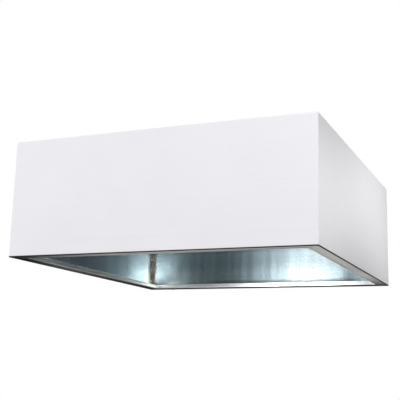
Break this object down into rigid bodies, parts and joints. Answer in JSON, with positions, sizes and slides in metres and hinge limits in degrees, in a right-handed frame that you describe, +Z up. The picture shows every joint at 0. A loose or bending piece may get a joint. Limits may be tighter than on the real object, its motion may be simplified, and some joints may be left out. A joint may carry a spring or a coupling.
{
  "type": "dishwasher condensate hood",
  "caption": "Square sheet metal condensate hood with a perimeter gutter, roof hangers, a round duct spigot with a butterfly damper, and a valved gutter drain.",
  "frame": {"origin": "centre of the open mouth, in the plane of the rim's underside", "axes": "+X to the right seen from the front, +Y from front to back, +Z up towards the duct"},
  "size_m": [1.2, 1.25, 0.6],
  "materials": {
    "satin_panel": "satin brushed outside, mill finish inside",
    "mill_sheet": "mill finish",
    "gutter_sheet": "mill finish",
    "bracket_steel": "pickled plate",
    "sealant": "dark sealant",
    "rivet_steel": "bright",
    "fastener_steel": "machined",
    "gasket_rubber": "matt",
    "damper_steel": "satin",
    "bush_plastic": "natural",
    "plated_brass": "nickel plated",
    "ball_chrome": "polished",
    "seat_plastic": "smooth",
    "grip_plastic": "dipped"
  },
  "bodies": {
    "canopy": {"backing_plate_front_left": "bracket_steel", "backing_plate_front_right": "bracket_steel", "backing_plate_rear_left": "bracket_steel", "backing_plate_rear_right": "bracket_steel", "damper_bush_left": "bush_plastic", "damper_bush_right": "bush_plastic", "damper_quadrant": "damper_steel", "drain_bulkhead": "plated_brass", "drain_gasket": "gasket_rubber", "drain_locknut": "plated_brass", "drain_washer": "fastener_steel", "duct_spigot": "mill_sheet", "front_panel": "satin_panel", "gutter_corner_seals": "sealant", "gutter_front": "gutter_sheet", "gutter_left": "gutter_sheet", "gutter_rear": "gutter_sheet", "gutter_right": "gutter_sheet", "gutter_wall_seals": "sealant", "hanger_bolts": "fastener_steel", "hanger_front_left": "bracket_steel", "hanger_front_right": "bracket_steel", "hanger_nuts": "fastener_steel", "hanger_rear_left": "bracket_steel", "hanger_rear_right": "bracket_steel", "hanger_washers": "fastener_steel", "left_panel": "satin_panel", "quadrant_rivets": "rivet_steel", "rear_panel": "satin_panel", "right_panel": "satin_panel", "roof_panel": "mill_sheet", "roof_rivets": "rivet_steel", "roof_stiffener_left": "mill_sheet", "roof_stiffener_right": "mill_sheet", "spigot_gasket": "gasket_rubber", "spigot_rivets": "rivet_steel", "stiffener_rivets": "rivet_steel", "valve_body": "plated_brass", "valve_end": "plated_brass", "valve_packing_nut": "plated_brass", "valve_seats": "seat_plastic"},
    "damper": {"damper_blade": "damper_steel", "damper_spindle": "damper_steel", "damper_saddle_left": "damper_steel", "damper_saddle_right": "damper_steel", "damper_saddle_rivets": "rivet_steel", "damper_spindle_clip": "fastener_steel", "damper_handle": "damper_steel", "damper_handle_nut": "fastener_steel", "damper_lock_bolt": "fastener_steel"},
    "wing_nut": {"damper_wing_nut": "fastener_steel"},
    "drain_lever": {"valve_ball": "ball_chrome", "valve_stem": "plated_brass", "valve_lever": "damper_steel", "valve_lever_grip": "grip_plastic", "valve_lever_nut": "fastener_steel"}
  },
  "joints": [
    {"name": "damper_turn", "type": "hinge", "parent": "canopy", "child": "damper", "pos_m": [0, 0, 0.495], "axis": [-1, 0, 0], "range_deg": [0, 90]},
    {"name": "wing_nut_turn", "type": "hinge", "parent": "damper", "child": "wing_nut", "pos_m": [0.12, -0.045, 0.495], "axis": [1, 0, 0], "range_deg": [-180, 180]},
    {"name": "drain_valve_turn", "type": "hinge", "parent": "canopy", "child": "drain_lever", "pos_m": [-0.5, 0.6279, 0.013], "axis": [0, 0, 1], "range_deg": [0, 90]}
  ]
}
